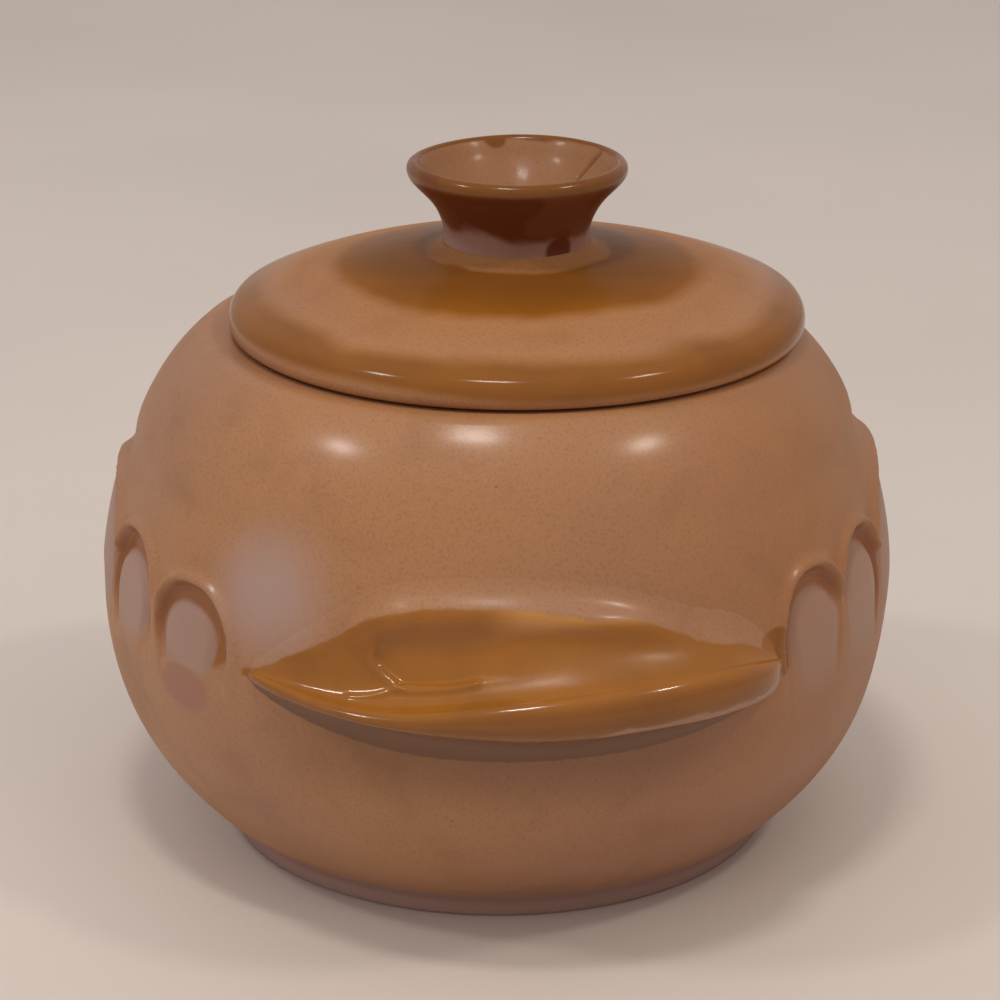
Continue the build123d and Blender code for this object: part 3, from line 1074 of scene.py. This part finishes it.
def amber_over(net, color, rough, share, deep, pale=0.0):
    """Glossy amber glaze laid over the satin one where share is 1."""
    flow = net.noise(60, 3.0, 0.4)
    amber = net.mix(net.ramp(flow, 0.35, 0.7, 0.0, 0.35), AMBER, AMBER_DEEP)
    amber = net.mix(deep, amber, AMBER_DEEP)
    amber = net.mix(pale, amber, AMBER_PALE)
    glossy = net.times(share, GLOSSY)
    satin = net.times(net.minus(1.0, share), rough)
    return net.mix(share, color, amber), net.plus(satin, glossy)


def amber_share(net):
    """How much amber glaze lies at a point, from the millimetres inside its edge."""
    return net.ramp(net.plus(net.mark("amber"), net.wander(70, 0.3, 0.9)), -0.5, 0.6)


def body_material():
    net = Net("body_glaze_look", coat_roughness=0.2, specular=0.2)
    facing = net.node("LayerWeight").outputs["Facing"]
    net.coat(net.ramp(facing, 0.5, 0.92, 0.42, 0.02))
    color, rough, height = satin_glaze(net)
    x, _, z = net.axes()
    # Painted light: warmer towards +X. The arch faces' mauve is partly their own paler glaze, and
    # stronger towards -X as painted cool window light.
    color = net.mix(net.ramp_mm(x, WARM_LIGHT_SIDE, 0.0, 0.55), color, WARM_LIGHT)
    mauve = net.times(net.mark("face"), net.ramp_mm(x, COOL_LIGHT_SIDE, 0.75, 0.5))
    color = net.tinted(net.mix(mauve, color, MAUVE), POT_TINTS)
    color, rough = amber_over(net, color, rough, amber_share(net), 0.3)
    rough_edge = net.plus(z, net.times(net.noise(60, 3.0), 2 * MM))
    bare = net.ramp_mm(rough_edge, BARE_FOOT)
    color = net.mix(bare, color, SHADED_FOOT_CLAY)
    rough = net.most(rough, net.times(bare, 0.8))
    return net.finish(color, rough, height, PEEL_DEPTH)


def lug_material():
    net = Net("lug_glaze_look", coat_roughness=0.2, specular=0.3)
    color, rough, height = satin_glaze(net)
    color = net.tinted(color, LUG_TINTS)
    # pale is partly a painted reflection, near the lug's seam
    pale = net.times(net.mark("pale"), 0.8)
    # deep holds painted shade on the lip's front, and the shelf's deeper amber
    deep = net.times(net.mark("deep"), 0.45)
    color, rough = amber_over(net, color, rough, amber_share(net), deep, pale)
    thin = net.mark("thin")
    rough = net.plus(rough, net.times(thin, 0.24))
    net.coat(net.ramp(thin, 0.0, 1.0, 0.36, 0.04))
    return net.finish(color, rough, height, 0.1 * MM)


def lid_material():
    net = Net("lid_glaze_look", coat_roughness=0.15, specular=0.03)
    color, rough, height = satin_glaze(net)
    x, _, z = net.axes()
    radius = net.axis_distance(LID_SHIFT * MM)
    net.coat(net.ramp_mm(radius, LID_COAT, 0.0, 0.4))
    loose = net.plus(radius, net.wander(30, 0.3, 2 * MM))
    disc = net.ramp_mm(loose, LID_DISC)
    root = net.ramp_mm(loose, LID_BARE_ROOT)
    low = net.minus(z, net.ramp_mm(x, LID_BAND_SIDE, 0.0, LID_BAND_SHIFT))
    band = net.times(net.ramp_mm(loose, LID_BAND), net.ramp_mm(low, LID_BAND_HEIGHTS))
    share = net.most(net.minus(disc, net.times(root, 0.6)), net.times(band, 0.92))
    deep = net.most(net.times(disc, net.ramp_mm(radius, LID_DISC_DEEP, 0.4, 0.8)),
                    net.times(band, 0.5))
    color, gloss = amber_over(net, color, rough, share, deep)
    rough = net.plus(net.times(disc, 0.12), gloss)
    return net.finish(color, rough, height, PEEL_DEPTH)


def flange_material():
    net = Net("flange_glaze_look", coat_roughness=0.25, specular=0.4)
    net.coat(0.2)
    color, rough, height = satin_glaze(net)
    z = net.axes()[2]
    worn = net.ramp_mm(net.plus(z, net.times(net.noise(200, 3.0), 3 * MM)), WORN_RING)
    color = net.mix(net.times(worn, 0.8), color, CLAY)
    rough = net.most(rough, net.times(worn, 0.7))
    return net.finish(color, rough, height, 0.14 * MM)


def knob_material():
    net = Net("knob_glaze_look", coat_roughness=0.14, specular=0.2)
    color, rough, height = satin_glaze(net)
    x, _, z = net.axes()
    inside = net.mark("inside")
    outside = net.minus(1.0, inside)
    net.coat(net.ramp(outside, 0.0, 1.0, 0.12, 0.2))
    color = net.mix(net.times(inside, 0.4), color, UMBER)
    wall = net.mix(net.ramp(net.noise(75, 3.0, 0.5), 0.46, 0.62, 0.0, 0.55), REDDISH, RUSSET)
    color = net.mix(net.times(outside, 0.95), color, wall)
    wander = net.wander(55, 0.4, 3 * MM)
    lean = net.times(net.minus(x, LID_SHIFT * MM), KNOB_DUSK_LEAN)
    dusk = net.times(net.ramp_mm(net.plus(lean, net.plus(z, wander)), KNOB_DUSK), outside)
    color = net.mix(net.times(dusk, 0.8), color, DUSK)
    color = net.mix(net.times(net.mark("drip"), 0.95), color, REDDISH)
    rim = net.ramp_mm(net.plus(z, net.times(wander, 0.2)), KNOB_RIM)
    inner_rim = net.ramp_mm(net.plus(z, net.times(wander, 0.15)), KNOB_INNER_RIM)
    band = net.plus(net.times(rim, outside), net.times(inner_rim, inside))
    band = net.times(band, net.ramp(net.noise(62, 2.0, 0.3), 0.4, 0.55, 0.4, 1.0))
    band = net.most(band, net.mark("notch"))
    color, gloss = amber_over(net, color, rough, band, 0.8)
    rough = net.plus(gloss, net.times(band, 0.14))
    color = net.mix(net.times(net.mark("crease"), 0.85), color, AMBER_DEEP)
    rough = net.minus(rough, net.times(outside, 0.05))
    return net.finish(color, rough, height, PEEL_DEPTH)


def floor_material():
    net = Net("floor_look")
    color = net.mix(net.ramp(net.noise(3, 3.0), 0.3, 0.7), FLOOR_LIGHT, FLOOR_DARK)
    return net.finish(color, 0.55, net.noise(400), 0.05 * MM)


# -------- camera, floor and light

def place_camera():
    data = bpy.data.cameras.new("camera")
    data.lens = CAMERA_LENS
    data.sensor_width = FILM_WIDTH
    camera = new_object("camera", data)
    x, y = plan_point(CAMERA_AZIMUTH, CAMERA_DISTANCE)
    camera.location = (x * MM, y * MM, CAMERA_HEIGHT * MM)
    camera.rotation_euler = (math.radians(90 - CAMERA_PITCH), 0,
                             math.radians(CAMERA_AZIMUTH - CAMERA_PAN))
    bpy.context.scene.camera = camera


def lay_floor():
    mesh = bpy.data.meshes.new("floor")
    corners = [(x * FLOOR_HALF, y * FLOOR_HALF, 0) for x, y in ((-1, -1), (1, -1), (1, 1), (-1, 1))]
    mesh.from_pydata(corners, [], [(0, 1, 2, 3)])
    mesh.materials.append(floor_material())
    floor = new_object("floor", mesh)


def area_light(lamp):
    """A lamp that points at the target."""
    data = bpy.data.lights.new(lamp.name, "AREA")
    data.shape = "RECTANGLE"
    data.size, data.size_y = lamp.size
    data.energy = lamp.watts
    data.color = lamp.color
    light = new_object(lamp.name, data)
    light.location = lamp.place
    light.visible_glossy = lamp.in_gloss
    aim = Vector(LAMP_TARGET) - Vector(lamp.place)
    light.rotation_euler = aim.to_track_quat("-Z", "Y").to_euler()


def light_scene():
    for lamp in LAMPS:
        area_light(lamp)
    world = bpy.data.worlds.new("room")
    world.use_nodes = True
    background = world.node_tree.nodes["Background"]
    background.inputs["Color"].default_value = ROOM
    background.inputs["Strength"].default_value = ROOM_STRENGTH
    bpy.context.scene.world = world
    bpy.context.scene.view_settings.view_transform = "Standard"


# -------- the scene

place_camera()
lay_floor()
light_scene()

pot = build_pot(body_material())
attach(pot, "pot")
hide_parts("pot_body")

lug_look = lug_material()
LEDGES = (("front_ledge", 0, "front_lug"), ("rear_ledge", 180, "rear_lug"))
for lug_name, lug_turn, lug_node in LEDGES:
    lug = build_lug(lug_name, lug_turn, lug_look)
    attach(lug, "pot")
    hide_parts(lug_node)

lid = build_lid(lid_material())
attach(lid, "cover")
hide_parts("lid")

knob = build_knob(knob_material())
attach(knob, "cover")
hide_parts("lid_knob")

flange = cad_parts["lid_flange"]
flange.data.materials.clear()
flange.data.materials.append(flange_material())
